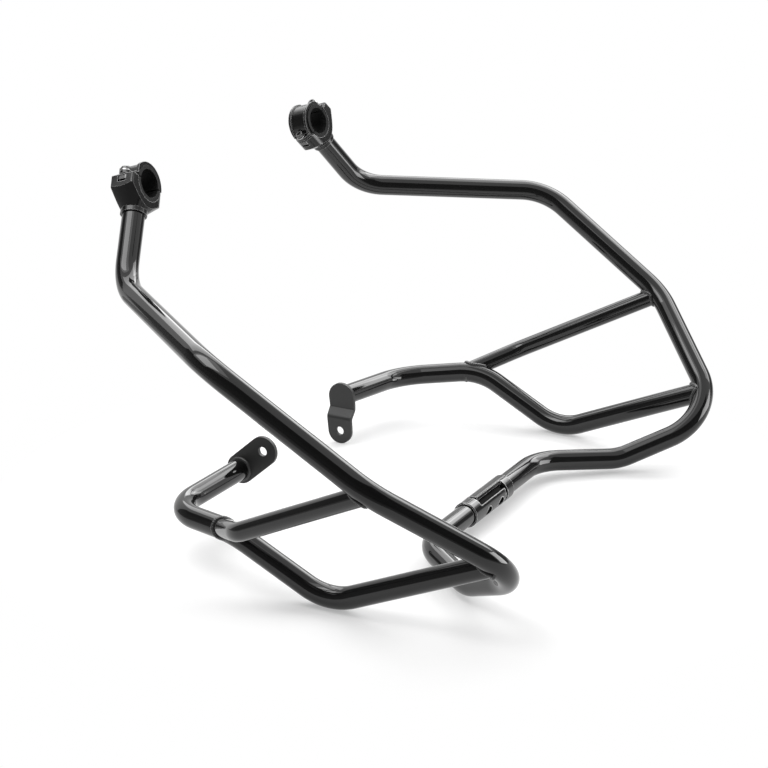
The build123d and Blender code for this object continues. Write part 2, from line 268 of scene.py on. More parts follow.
# The clamps' edges get a light grey painted highlight.
cast_alloy = finish(
    "black_cast_alloy", shade=(0.004, 0.007), rough=(0.24, 0.34), grain=(0.7, 0.010), wave=(5.0, 0.015),
    edge=(1.3, 0.4), **clear_layer(0.2, ior=1.45))
satin_coat = finish(
    "satin_black_coat", shade=(0.016, 0.022), rough=(0.42, 0.52), grain=(0.5, 0.012), wave=(6.0, 0.02),
    edge=(0.3, 0.06))
rubber = finish(
    "clamp_rubber", shade=(0.005, 0.009), rough=(0.62, 0.74), grain=(0.4, 0.02), wave=(4.0, 0.03),
    edge=(0.3, 0.02), **{"Specular IOR Level": 0.2})
dark_steel = finish(
    "dark_bolt_steel", shade=(0.09, 0.14), rough=(0.26, 0.36), grain=(0.3, 0.003), wave=(3.0, 0.004),
    edge=(0.2, 0.2), Metallic=1.0)
bright_steel = finish(
    "plated_steel", shade=(0.42, 0.52), rough=(0.22, 0.32), grain=(0.3, 0.003), wave=(3.0, 0.004),
    edge=(0.2, 0.6), Metallic=1.0)
coats = (
    gloss_coat, forged_coat, weld_coat_painted_sheen, lap_painted_shade, cast_alloy, satin_coat, rubber, dark_steel, bright_steel)
print("finishes", [coat.name for coat in coats])

# %% [markdown]
# ## Turning a node tree into a mesh
# A Geometry Nodes modifier is a live recipe. A library part needs plain meshes, so each result is read once
# from the evaluated object and put in a new object at the origin, and the object that carried the recipe is
# thrown away. Applying the modifier with an operator would do the same, but that depends on what is selected.

# %% From recipe to mesh


def link_mesh(mesh, name):
    """A new object for a mesh, in the scene and at the origin."""
    thing = bpy.data.objects.new(name, mesh)
    scene.collection.objects.link(thing)
    return thing


def to_mesh(thing, name):
    """The evaluated object as a plain mesh in a new object; the old object is removed."""
    depsgraph = bpy.context.evaluated_depsgraph_get()
    mesh = bpy.data.meshes.new_from_object(thing.evaluated_get(depsgraph), depsgraph=depsgraph)
    mesh.name = name
    old_mesh = thing.data
    bpy.data.objects.remove(thing)
    bpy.data.meshes.remove(old_mesh)
    return link_mesh(mesh, name)


def hand_over(piece, slot, *nodes):
    """The piece rides on the part and stands for its solids, which are hidden."""
    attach(piece, "root")
    if nodes:
        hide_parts(*nodes)
    print(piece.name, "faces", len(piece.data.polygons))


# %% Trees with named inputs


def start_tree(name, *sockets):
    """A new Geometry Nodes tree with named inputs; gives the tree and its input sockets by name."""
    tree = bpy.data.node_groups.new(name, "GeometryNodeTree")
    tree.interface.new_socket("Geometry", in_out="INPUT", socket_type="NodeSocketGeometry")
    for title, kind in sockets:
        tree.interface.new_socket(title, in_out="INPUT", socket_type="NodeSocket" + kind)
    tree.interface.new_socket("Geometry", in_out="OUTPUT", socket_type="NodeSocketGeometry")
    return tree, add_node(tree, "NodeGroupInput").outputs


def stored(tree, name, kind):
    """An attribute that was stored on the geometry by name."""
    return add_node(tree, "GeometryNodeInputNamedAttribute", {"Name": name}, data_type=kind).outputs[0]


def end_tree(tree, geometry, material):
    """Every tree ends with real geometry that carries its material."""
    real = add_node(tree, "GeometryNodeRealizeInstances", {"Geometry": geometry}).outputs[0]
    coated = add_node(tree, "GeometryNodeSetMaterial", {"Geometry": real, "Material": material}).outputs[0]
    add_node(tree, "NodeGroupOutput", {"Geometry": coated})
    print(tree.name, "nodes", len(tree.nodes))


def set_inputs(thing, tree, values):
    """Give an object the tree as a modifier, with values for its named inputs."""
    modifier = thing.modifiers.new(tree.name, "NODES")
    modifier.node_group = tree
    for item in tree.interface.items_tree:
        if item.name in values:
            modifier[item.identifier] = values[item.name]


# %% [markdown]
# ## Bent tubes
# A tube bender feeds straight stock and bends it round a die, so a bent tube is straight runs joined by arcs.
# That is a rule, so Geometry Nodes makes it: a line through the corners, Fillet Curve with each corner's own
# radius, and a circle swept along it. Each corner carries its bend radius as an attribute.
# Where one tube meets another, the shop cuts its end to a saddle. A Boolean could cut it too, but leaves
# uneven faces. The tree uses Raycast: points near the end slide along the tube until they meet the other
# tube. A Solidify modifier then gives the wall.

# %% Sliding a tube's end to another surface


def slide_to_cut(tree, spot, tangent, gap, zone, target):
    """Positions near an end, slid along the tube so that the last ring lies on the target's surface."""
    back = calc(tree, "SUBTRACT", zone, gap)
    base = calc_vector(tree, "SUBTRACT", spot, calc_vector(tree, "SCALE", tangent, back))
    shape = add_node(tree, "GeometryNodeObjectInfo", {"Object": target}).outputs["Geometry"]
    ray = add_node(tree, "GeometryNodeRaycast", {
        "Target Geometry": shape, "Source Position": base, "Ray Direction": tangent, "Ray Length": 1.0})
    share = calc(tree, "SUBTRACT", 1.0, calc(tree, "DIVIDE", gap, zone))
    slide = calc(tree, "MULTIPLY", ray.outputs["Hit Distance"], share)
    near = calc(tree, "LESS_THAN", gap, zone)
    near = calc(tree, "MULTIPLY", near, ray.outputs["Is Hit"])
    return near, calc_vector(tree, "ADD", base, calc_vector(tree, "SCALE", tangent, slide))


# %% The tree for bent tubes: the centre line
arc_points = 40
tube_tree, tube_in = start_tree(
    "bent_tube", ("Outside radius", "Float"), ("Ring spacing", "Float"), ("Start zone", "Float"),
    ("End zone", "Float"), ("Start cut", "Object"), ("End cut", "Object"), ("Finish", "Material"))
line = add_node(tube_tree, "GeometryNodeMeshToCurve", {"Mesh": tube_in["Geometry"]}).outputs[0]
line = add_node(tube_tree, "GeometryNodeFilletCurve", {
    "Curve": line, "Count": arc_points, "Radius": stored(tube_tree, "bend", "FLOAT")}, mode="POLY").outputs[0]
line = add_node(tube_tree, "GeometryNodeResampleCurve", {
    "Curve": line, "Length": tube_in["Ring spacing"]}, mode="LENGTH").outputs[0]
length = add_node(tube_tree, "GeometryNodeSplineParameter").outputs["Length"]
whole = add_node(tube_tree, "GeometryNodeSplineLength").outputs["Length"]
for title, kind, value in (
    ("from_start", "FLOAT", length),
    ("from_end", "FLOAT", calc(tube_tree, "SUBTRACT", whole, length)),
    ("heading", "FLOAT_VECTOR", add_node(tube_tree, "GeometryNodeInputTangent").outputs[0]),
):
    line = add_node(tube_tree, "GeometryNodeStoreNamedAttribute", {
        "Geometry": line, "Name": title, "Value": value}, data_type=kind, domain="POINT").outputs[0]
print(tube_tree.name, "nodes for the centre line", len(tube_tree.nodes))

# %% The tree for bent tubes: the skin
tube_sides = 48
ring = add_node(tube_tree, "GeometryNodeCurvePrimitiveCircle", {
    "Resolution": tube_sides, "Radius": tube_in["Outside radius"]}).outputs[0]
skin = add_node(tube_tree, "GeometryNodeCurveToMesh", {"Curve": line, "Profile Curve": ring}).outputs[0]
spot = add_node(tube_tree, "GeometryNodeInputPosition").outputs[0]
heading = stored(tube_tree, "heading", "FLOAT_VECTOR")
for gap_name, zone_name, cut_name, way in (
    ("from_end", "End zone", "End cut", 1.0),
    ("from_start", "Start zone", "Start cut", -1.0),
):
    outward = calc_vector(tube_tree, "SCALE", heading, way)
    gap = stored(tube_tree, gap_name, "FLOAT")
    near, slid = slide_to_cut(tube_tree, spot, outward, gap, tube_in[zone_name], tube_in[cut_name])
    skin = add_node(tube_tree, "GeometryNodeSetPosition", {
        "Geometry": skin, "Selection": near, "Position": slid}).outputs[0]
skin = add_node(tube_tree, "GeometryNodeSetShadeSmooth", {"Geometry": skin}).outputs[0]
end_tree(tube_tree, skin, tube_in["Finish"])

# %% [markdown]
# ## Routes of the tubes
# Each half has one long main tube, a lower tube and a thinner brace. Their lines could be drawn by hand as
# curves, but corners and radii are what a bending machine is told, so a route is the corners that the
# straight runs would meet in, with a bend radius for each. The lower tube and the brace start on another
# tube's centre line, at a length measured along it, as a fitter would mark it out.

# %% Lengths along a bent tube
fewest_arc_steps = 4


def centre_line(corners, bends):
    """Points along a bent tube's centre line, about a degree apart on its arcs."""
    points = [corners[0]]
    for before, corner, after, bend in zip(corners, corners[1:], corners[2:], bends):
        back = (before - corner).normalized()
        ahead = (after - corner).normalized()
        turn = math.pi - back.angle(ahead)
        pivot = corner + (back + ahead).normalized() * (bend / math.cos(turn / 2))
        arm = corner + back * (bend * math.tan(turn / 2)) - pivot
        axis = ahead.cross(back).normalized()
        steps = max(fewest_arc_steps, int(math.degrees(turn)))
        points += [pivot + Quaternion(axis, turn * k / steps) @ arm for k in range(steps + 1)]
    return points + [corners[-1]]


def along(points, length):
    """The point at a length along a line of points."""
    for first, second in zip(points, points[1:]):
        step = (second - first).length
        if length <= step:
            return first.lerp(second, length / step)
        length -= step
    return points[-1]


# %% The main tube's route
clamp_point = (185.2, 339.5, 393.6)
shoulder_point = (260.2, 308.2, 303.1)
elbow_point = (403.3, 111.1, 286.5)
flank_point = (383.4, -58.5, 177.1)
nose_point = (274.7, -183.2, 68.2)
chin_point = (209.2, -80.8, 16.1)
inlet_point = (144.3, 0, coupler_height)
tube_end_point = (52.0, 0, coupler_height)
main_bends = (62, 71, 90, 65, 57, 63)
tube_seat = 22.5


def main_route(side):
    """Corners and bend radii of the main tube, from its seat in the clamp to the coupler."""
    clamp = place(*clamp_point, side)
    shoulder = place(*shoulder_point, side)
    seat = clamp + (shoulder - clamp).normalized() * (tube_seat * MM)
    others = (elbow_point, flank_point, nose_point, chin_point, inlet_point, tube_end_point)
    corners = [seat, shoulder] + [place(*point, side) for point in others]
    return corners, [bend * MM for bend in main_bends]


left_line = centre_line(*main_route(LEFT))
main_length = sum((second - first).length for first, second in zip(left_line, left_line[1:]))
print("main tube", round(main_length / MM), "mm along its centre line")

# %% The lower tube's and the brace's routes
foot_point = (296, 36.2, 5.6)
rise_point = (300.6, 152.2, 64)
tail_points = {LEFT: (257.3, 247.8, 54.6), RIGHT: (272, 248.8, 60)}
plate_points = {LEFT: (145, 269.2, 58.4), RIGHT: (145, 240.3, 65.1)}
lower_bends = {LEFT: (66, 76, 66), RIGHT: (66, 76, 50)}
lower_start = 695 * MM
lower_radius = 12.5 * MM
brace_point = (343.6, 117.8, 86.4)
brace_bend = 40
brace_start = 538 * MM
brace_stop = 351 * MM


def lower_route(side, main_points):
    """From the main tube back to a point beyond the mount plate, where the plate's face will cut it."""
    tail = place(*tail_points[side], side)
    plate = place(*plate_points[side], side)
    beyond = plate + (plate - tail).normalized() * (2 * lower_radius)
    start = along(main_points, lower_start)
    corners = [start, place(*foot_point, side), place(*rise_point, side), tail, beyond]
    return corners, [bend * MM for bend in lower_bends[side]]


def brace_route(side, main_points, lower_points):
    """From the main tube down to the lower tube, with one bend."""
    corners = [along(main_points, brace_start), place(*brace_point, side), along(lower_points, brace_stop)]
    return corners, [brace_bend * MM]


print("lower tube starts", round(lower_start / MM), "mm along the main tube, brace", round(brace_start / MM))

# %% [markdown]
# ## Making the tubes
# The main tube comes first, because the others are cut to it. The lower tube's far end is cut by its mount
# plate's face. The plate itself could do that, but a ray might slip past its rim or through a hole, so a
# plain square stands in for it.

# %% One bent tube
ring_spacing = 4 * MM
tube_wall = 2.0 * MM
sharp_rim = math.radians(40)
cutter_reach = 0.2
square_corners = ((-1, -1), (1, -1), (1, 1), (-1, 1))


def bent_tube(name, route, radius, start_cut=None, end_cut=None, start_zone=0.0, end_zone=0.0):
    """A tube along a route; a cut is what an end is fitted to, and its zone is the length that gives way."""
    corners, bends = route
    mesh = bpy.data.meshes.new(name + "_line")
    mesh.from_pydata(corners, [(k, k + 1) for k in range(len(corners) - 1)], [])
    mesh.attributes.new("bend", "FLOAT", "POINT").data.foreach_set("value", [0.0, *bends, 0.0])
    thing = link_mesh(mesh, name + "_line")
    values = {
        "Outside radius": radius, "Ring spacing": ring_spacing, "Finish": gloss_coat,
        "Start zone": start_zone, "End zone": end_zone}
    if start_cut:
        values["Start cut"] = start_cut
    if end_cut:
        values["End cut"] = end_cut
    set_inputs(thing, tube_tree, values)
    wall = thing.modifiers.new("wall", "SOLIDIFY")
    wall.thickness = tube_wall
    wall.offset = -1.0
    piece = to_mesh(thing, name)
    piece.data.set_sharp_from_angle(angle=sharp_rim)
    return piece


def plate_face(side):
    """A square in the plane of the mount plate's outer face, to cut the lower tube with."""
    node = "mount_plate_left" if side == LEFT else "mount_plate_right"
    low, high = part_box(node)
    face_x = high.x if side == LEFT else low.x
    middle = Vector((face_x, (low.y + high.y) / 2, (low.z + high.z) / 2))
    corners = [middle + Vector((0, y, z)) * cutter_reach for y, z in square_corners]
    mesh = bpy.data.meshes.new("plate_face")
    mesh.from_pydata(corners, [], [(0, 1, 2, 3)])
    return link_mesh(mesh, "plate_face")


# %% Make the tubes
side_names = {LEFT: "left", RIGHT: "right"}
main_radius = 12.7 * MM
brace_radius = 10.65 * MM
lower_front_zone = 45 * MM
lower_tail_zone = 40 * MM
brace_top_zone = 40 * MM
brace_foot_zone = 26 * MM
tubes = {}
routes = {}
faces = {}
for side, word in side_names.items():
    route = main_route(side)
    main_line = centre_line(*route)
    tubes["main", side] = bent_tube("main_tube_" + word + "_coated", route, main_radius)
    route = lower_route(side, main_line)
    lower_line = centre_line(*route)
    faces[side] = plate_face(side)
    tubes["lower", side] = bent_tube(
        "lower_tube_" + word + "_coated", route, lower_radius, tubes["main", side], faces[side],
        lower_front_zone, lower_tail_zone)
    routes["lower", side] = route
    route = brace_route(side, main_line, lower_line)
    tubes["brace", side] = bent_tube(
        "brace_tube_" + word + "_coated", route, brace_radius, tubes["main", side], tubes["lower", side],
        brace_top_zone, brace_foot_zone)
    routes["brace", side] = route
for (kind, side), piece in tubes.items():
    hand_over(piece, "gloss_black_coat", f"{kind}_tube_{side_names[side]}")

# %% [markdown]
# ## Weld beads
# The tubes are welded all round where they meet, and the coat runs over the bead. A welder lays the bead in
# small steps, so it has a ripple. It could be drawn by hand, but the seam follows two surfaces at once, so it
# is found as the tubes' ends were: a ring of points on the joining tube is cast along that tube onto the
# other piece. The bead is a circle swept round that seam, and its radius falls off a little in each step.

# %% The tree for weld beads
points_per_step = 6.0
fall_power = 2.0
bead_sides = 12
weld_tree, weld_in = start_tree(
    "weld_bead", ("Bead radius", "Float"), ("Step", "Float"), ("Step fall", "Float"), ("Onto", "Object"),
    ("Finish", "Material"))
spot = add_node(weld_tree, "GeometryNodeInputPosition").outputs[0]
onto = add_node(weld_tree, "GeometryNodeObjectInfo", {"Object": weld_in["Onto"]}).outputs["Geometry"]
ray = add_node(weld_tree, "GeometryNodeRaycast", {
    "Target Geometry": onto, "Source Position": spot,
    "Ray Direction": stored(weld_tree, "aim", "FLOAT_VECTOR"), "Ray Length": 1.0})
seam = add_node(weld_tree, "GeometryNodeSetPosition", {
    "Geometry": weld_in["Geometry"], "Position": ray.outputs["Hit Position"]}).outputs[0]
seam = add_node(weld_tree, "GeometryNodeMeshToCurve", {"Mesh": seam}).outputs[0]
spacing = calc(weld_tree, "DIVIDE", weld_in["Step"], points_per_step)
seam = add_node(weld_tree, "GeometryNodeResampleCurve", {
    "Curve": seam, "Length": spacing}, mode="LENGTH").outputs[0]
round_trip = add_node(weld_tree, "GeometryNodeSplineLength").outputs["Length"]
steps = calc(weld_tree, "ROUND", calc(weld_tree, "DIVIDE", round_trip, weld_in["Step"]))
share = add_node(weld_tree, "GeometryNodeSplineParameter").outputs["Factor"]
within = calc(weld_tree, "FRACT", calc(weld_tree, "MULTIPLY", share, steps))
fall = calc(weld_tree, "MULTIPLY", calc(weld_tree, "POWER", within, fall_power), weld_in["Step fall"])
girth = calc(weld_tree, "MULTIPLY", weld_in["Bead radius"], calc(weld_tree, "SUBTRACT", 1.0, fall))
ring = add_node(weld_tree, "GeometryNodeCurvePrimitiveCircle", {
    "Resolution": bead_sides, "Radius": 1.0}).outputs[0]
bead = add_node(weld_tree, "GeometryNodeCurveToMesh", {
    "Curve": seam, "Profile Curve": ring, "Scale": girth}).outputs[0]
bead = add_node(weld_tree, "GeometryNodeSetShadeSmooth", {"Geometry": bead}).outputs[0]
end_tree(weld_tree, bead, weld_in["Finish"])

# %% Weld the joints
bead_radius = 2.7 * MM
bead_step = 2.4 * MM
bead_fall = 0.16
seam_points = 96


def weld(name, end, inner, radius, zone, onto):
    """A bead round the end of a tube; inner is the corner before the end."""
    back = (inner - end).normalized()
    side_way = back.orthogonal().normalized()
    up_way = back.cross(side_way)
    turns = [2 * math.pi * k / seam_points for k in range(seam_points)]
    ring = [end + back * zone + (side_way * math.cos(a) + up_way * math.sin(a)) * radius for a in turns]
    mesh = bpy.data.meshes.new(name + "_ring")
    mesh.from_pydata(ring, [(k, (k + 1) % seam_points) for k in range(seam_points)], [])
    aim = mesh.attributes.new("aim", "FLOAT_VECTOR", "POINT")
    aim.data.foreach_set("vector", [v for _ in ring for v in -back])
    thing = link_mesh(mesh, name + "_ring")
    set_inputs(thing, weld_tree, {
        "Bead radius": bead_radius, "Step": bead_step, "Step fall": bead_fall, "Onto": onto,
        "Finish": weld_coat_painted_sheen})
    hand_over(to_mesh(thing, name), "gloss_black_coat")


for side, word in side_names.items():
    main = tubes["main", side]
    lower = routes["lower", side][0]
    brace = routes["brace", side][0]
    weld("weld_lower_front_" + word, lower[0], lower[1], lower_radius, lower_front_zone, main)
    weld("weld_lower_plate_" + word, lower[-1], lower[-2], lower_radius, lower_tail_zone, faces[side])
    weld("weld_brace_top_" + word, brace[0], brace[1], brace_radius, brace_top_zone, main)
    weld("weld_brace_foot_" + word, brace[-1], brace[-2], brace_radius, brace_foot_zone, tubes["lower", side])
    bpy.data.objects.remove(faces[side])

# %% [markdown]
# ## Plates, clamps, liners and couplers
# These are cut, cast or moulded pieces with hard outlines. Their solids are right, so modelling them again
# would gain nothing, and each is a copy of its solid: the loose triangles are merged, flat faces are made
# whole again, and a Bevel modifier breaks the edges, because no real edge is perfectly sharp.
# The coupler's two tongues lie one over the other. The flat faces between them get the matt finish that
# paints the groove's shade, so each face is tested: it is flat along or across the lap, and lies inside the
# coupler's round outside.

# %% Copies with broken edges
same_point = 0.002 * MM
same_plane = math.radians(1)
edge_from = math.radians(32)
edge_segments = 2


def broken_edges(node, material, width):
    """A merged copy of a solid with its sharp edges rounded; the width is in millimetres."""
    solid = frame["nodes"][node].data
    form = bmesh.new()
    for vertex in solid.vertices:
        form.verts.new(vertex.co)
    form.verts.ensure_lookup_table()
    for face in solid.polygons:
        form.faces.new([form.verts[k] for k in face.vertices])
    bmesh.ops.remove_doubles(form, verts=form.verts, dist=same_point)
    bmesh.ops.dissolve_limit(form, angle_limit=same_plane, verts=form.verts, edges=form.edges)
    mesh = bpy.data.meshes.new(node + "_copy")
    form.to_mesh(mesh)
    form.free()
    mesh.materials.append(material)
    mesh.shade_smooth()
    thing = link_mesh(mesh, node + "_copy")
    edge = thing.modifiers.new("edges", "BEVEL")
    edge.width = width * MM
    edge.segments = edge_segments
    edge.limit_method = "ANGLE"
    edge.angle_limit = edge_from
    edge.harden_normals = True
    return to_mesh(thing, node + "_finished")


# %% Matt faces with painted shade between the coupler's tongues
lap_tilt = math.radians(24.0)
lap_way = Vector((0, -math.cos(lap_tilt), -math.sin(lap_tilt)))
rib_way = Vector((0, -lap_way.z, lap_way.y))
inner_share = 0.95
inside_coupler = inner_share * (collar_high.z - collar_low.z) / 2
flat_enough = 0.97


def paint_lap_shade(piece):
    """Give the flat faces between the tongues the matt finish that paints the groove's shade."""
    mesh = piece.data
    mesh.materials.append(lap_painted_shade)
    for face in mesh.polygons:
        off_axis = face.center - coupler_centre
        off_axis.x = 0
        flat = max(abs(face.normal.dot(lap_way)), abs(face.normal.dot(rib_way))) > flat_enough
        if flat and off_axis.length < inside_coupler:
            face.material_index = 1
    # These are the faces that carry the painted shade of the groove.
    print(piece.name, "painted shade faces", sum(face.material_index for face in mesh.polygons))


# %% Make the plates, clamps, liners and couplers
for word in side_names.values():
    for stem, material, slot, width in (
        ("mount_plate_", satin_coat, "satin_black_coat", 0.5),
        ("clamp_base_", cast_alloy, "black_cast_alloy", 0.5),
        ("clamp_cap_", cast_alloy, "black_cast_alloy", 0.4),
        ("liner_base_", rubber, "clamp_rubber", 0.25),
        ("liner_cap_", rubber, "clamp_rubber", 0.25),
        ("coupler_", forged_coat, "satin_black_coat", 0.4),
    ):
        piece = broken_edges(stem + word, material, width)
        if material is forged_coat:
            paint_lap_shade(piece)
        hand_over(piece, slot, stem + word)

# %% [markdown]
# ## Screws, washers and nuts
# Each clamp closes with two socket screws, washers and square nuts, and two larger screws hold the coupler.
# One of each is turned up ring by ring, like a lathe job: each ring is a circle, a knurl, a hexagon or a
# rounded square at some height. Cylinders and cut-outs would need Booleans, and rings give clean edges.
# Geometry Nodes then sets a copy at each place, turned by an attribute on the point.

# %% Rings
ring_count = 96
knurl_depth = 0.16
corner_power = 14
angles = [2 * math.pi * k / ring_count for k in range(ring_count)]


def ring_at(radii, height):
    return [Vector((r * math.cos(a), r * math.sin(a), height)) * MM for r, a in zip(radii, angles)]


def round_ring(radius, height):
    return ring_at([radius] * ring_count, height)


def knurl_ring(radius, height):
    return ring_at([radius - knurl_depth * (k % 2) for k in range(ring_count)], height)


def hexagon_ring(across, height):
    sixth = math.pi / 3
    return ring_at([across / 2 / math.cos((a + sixth / 2) % sixth - sixth / 2) for a in angles], height)


def square_ring(across, height):
    """A square with slightly rounded corners."""
    sums = [abs(math.cos(a)) ** corner_power + abs(math.sin(a)) ** corner_power for a in angles]
    return ring_at([across / 2 / total ** (1 / corner_power) for total in sums], height)


# %% From rings to one of each fastener
sharp_step = math.radians(28)


def turned(name, rings, closed=False):
    """Rings joined in order; the ends are capped, or the last ring joins the first."""
    pairs = list(zip(range(len(rings)), range(1, len(rings))))
    if closed:
        pairs.append((len(rings) - 1, 0))
    quads = []
    for low, high in ((a * ring_count, b * ring_count) for a, b in pairs):
        for k in range(ring_count):
            n = (k + 1) % ring_count
            quads.append((low + k, low + n, high + n, high + k))
    if not closed:
        quads.append(tuple(reversed(range(ring_count))))
        quads.append(tuple((len(rings) - 1) * ring_count + k for k in range(ring_count)))
    mesh = bpy.data.meshes.new(name)
    mesh.from_pydata([point for ring in rings for point in ring], [], quads)
    mesh.shade_smooth()
    mesh.set_sharp_from_angle(angle=sharp_step)
    return link_mesh(mesh, name)


def socket_screw(name, head_d, head, shank_d, reach, key, chamfer):
    """A screw standing on its washer face at height 0, with its head above."""
    head_r = head_d / 2
    shank_r = shank_d / 2
    knurl_top = head - 1.6 * chamfer
    band_top = head - 1.2 * chamfer
    return turned(name, [
        round_ring(shank_r - chamfer, -reach), round_ring(shank_r, chamfer - reach), round_ring(shank_r, 0),
        round_ring(head_r - chamfer / 2, 0), round_ring(head_r, chamfer / 2),
        knurl_ring(head_r, chamfer), knurl_ring(head_r, knurl_top),
        round_ring(head_r, band_top), round_ring(head_r - chamfer, head),
        hexagon_ring(key + chamfer, head), hexagon_ring(key, head - chamfer / 2),
        hexagon_ring(key, head / 2)])


def holed(name, outline, across, hole_d, thick, chamfer):
    """A flat ring with a round hole, whose outside is round or square and has broken edges."""
    return turned(name, [
        round_ring(hole_d / 2, 0), outline(across - 2 * chamfer, 0), outline(across, chamfer),
        outline(across, thick - chamfer), outline(across - 2 * chamfer, thick),
        round_ring(hole_d / 2, thick)], closed=True)


def disc_ring(across, height):
    return round_ring(across / 2, height)


washer_thick = 1.2
clamp_screw = socket_screw(
    "clamp_screw_pattern", head_d=10.0, head=4.0, shank_d=6.0, reach=14.0, key=5.0, chamfer=0.5)
coupler_screw = socket_screw(
    "coupler_screw_pattern", head_d=13.0, head=5.0, shank_d=8.0, reach=19.0, key=6.0, chamfer=0.6)
plain_washer = holed("washer_pattern", disc_ring, across=11.6, hole_d=6.4, thick=washer_thick, chamfer=0.2)
square_nut = holed("nut_pattern", square_ring, across=10.0, hole_d=6.0, thick=5.0, chamfer=0.3)
patterns = (clamp_screw, coupler_screw, plain_washer, square_nut)
print("patterns", [pattern.name for pattern in patterns])

# %% [markdown]
# ## Where the fasteners go
# The clamp has its own axes: the bore, the line from ear to ear, and the way towards the tube. The bore
# points forward, rises and toes in a little. Each place could be read off the solids, but axes worked out
# from those angles and the tube's direction show why a screw stands as it does. The right clamp mirrors the
# left one, and the coupler's screws stand square to its lap.

# %% The clamp's axes and the fasteners' places
bore_toe_in = math.radians(4.8)
bore_rise = math.radians(17.0)
clamp_offset = 2.0 * MM
bolt_offset = 26.0 * MM
tube_way = (place(*clamp_point) - place(*shoulder_point)).normalized()
forward = Vector((-math.sin(bore_toe_in), -math.cos(bore_toe_in), 0))
bore_way = forward * math.cos(bore_rise) + Vector((0, 0, math.sin(bore_rise)))
ear_way = bore_way.cross(tube_way).normalized()
down_way = bore_way.cross(ear_way)
clamp_middle = place(*clamp_point) + bore_way * clamp_offset


def mirrored(vector, side):
    return Vector((side * vector.x, vector.y, vector.z))


def clamp_places(height, way):
    """Points at both ears of both clamps, at a height towards the tube, with the way that the top faces."""
    found = []
    for side in side_names:
        for ear in (1, -1):
            point = clamp_middle + ear_way * (ear * bolt_offset) + down_way * height
            found.append((mirrored(point, side), mirrored(down_way * way, side), mirrored(ear_way, side)))
    return found


lap_seat = 7.0 * MM
lap_spacing = 32.0 * MM
lap_places = []
for shift in (-lap_spacing / 2, lap_spacing / 2):
    spot = coupler_centre + Vector((shift, 0, 0)) + lap_way * lap_seat
    lap_places.append((spot, lap_way, Vector((1, 0, 0))))
print("clamp bore points", [round(v, 3) for v in bore_way], "coupler screws", len(lap_places))

# %% Set the fasteners
cap_ear = 4.5 * MM
nut_top = 1.8 * MM
set_tree, set_in = start_tree("fastener_set", ("Pattern", "Object"), ("Finish", "Material"))
pattern = add_node(set_tree, "GeometryNodeObjectInfo", {
    "Object": set_in["Pattern"], "As Instance": True}).outputs["Geometry"]
copies = add_node(set_tree, "GeometryNodeInstanceOnPoints", {
    "Points": set_in["Geometry"], "Instance": pattern,
    "Rotation": stored(set_tree, "turn", "QUATERNION")}).outputs[0]
end_tree(set_tree, copies, set_in["Finish"])


def set_fasteners(name, pattern, places, material, slot, node):
    """Copies of a pattern at places, each a point, the way its top faces and a way across."""
    mesh = bpy.data.meshes.new(name + "_points")
    mesh.from_pydata([spot for spot, top, across in places], [], [])
    turns = mesh.attributes.new("turn", "QUATERNION", "POINT")
    for item, (spot, top, across) in zip(turns.data, places):
        across = (across - top * across.dot(top)).normalized()
        item.value = Matrix((across, top.cross(across), top)).transposed().to_quaternion()
    thing = link_mesh(mesh, name + "_points")
    set_inputs(thing, set_tree, {"Pattern": pattern, "Finish": material})
    piece = to_mesh(thing, name)
    hand_over(piece, slot, node)
    low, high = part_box(node)
    found = [Vector(map(pick, zip(*(v.co for v in piece.data.vertices)))) for pick in (min, max)]
    print("  off its solid by", round(max((found[0] - low).length, (found[1] - high).length) / MM, 2), "mm")


washer_places = clamp_places(-cap_ear, -1)
screw_places = clamp_places(-cap_ear - washer_thick * MM, -1)
nut_places = clamp_places(nut_top, 1)
set_fasteners("clamp_screws", clamp_screw, screw_places, dark_steel, "bolt_steel", "clamp_bolts")
set_fasteners("clamp_plain_washers", plain_washer, washer_places, bright_steel, "bolt_steel", "clamp_washers")
set_fasteners("clamp_square_nuts", square_nut, nut_places, dark_steel, "bolt_steel", "clamp_nuts")
set_fasteners("coupler_screws", coupler_screw, lap_places, dark_steel, "black_bolt_steel", "coupler_bolts")
for pattern in patterns:
    bpy.data.objects.remove(pattern)

# %% [markdown]
# ## Floor
# A product photograph like this is taken on a white sweep. The floor is a pale matt plane that keeps the
# shadows, with a little light of its own, for the camera and for reflections, so that it just reaches white.
# Lamps alone could make it white, but they would also flood the bars. Away from the bars the matt share fades
# out and the light of its own takes over, so the floor meets the white world without a line.

# %% Floor
floor_half = 12.0
floor_drop = 0.3 * MM
floor_colour = 0.62
floor_lift = 0.36
fade_near = 0.30
fade_far = 0.50


def background_rays(tree):
    """1 for rays that show the background itself: to the camera, mirrored or through glass."""
    paths = add_node(tree, "ShaderNodeLightPath").outputs
    mirrored_too = calc(tree, "MAXIMUM", paths["Is Camera Ray"], paths["Is Glossy Ray"])
    return calc(tree, "MAXIMUM", mirrored_too, paths["Is Transmission Ray"])


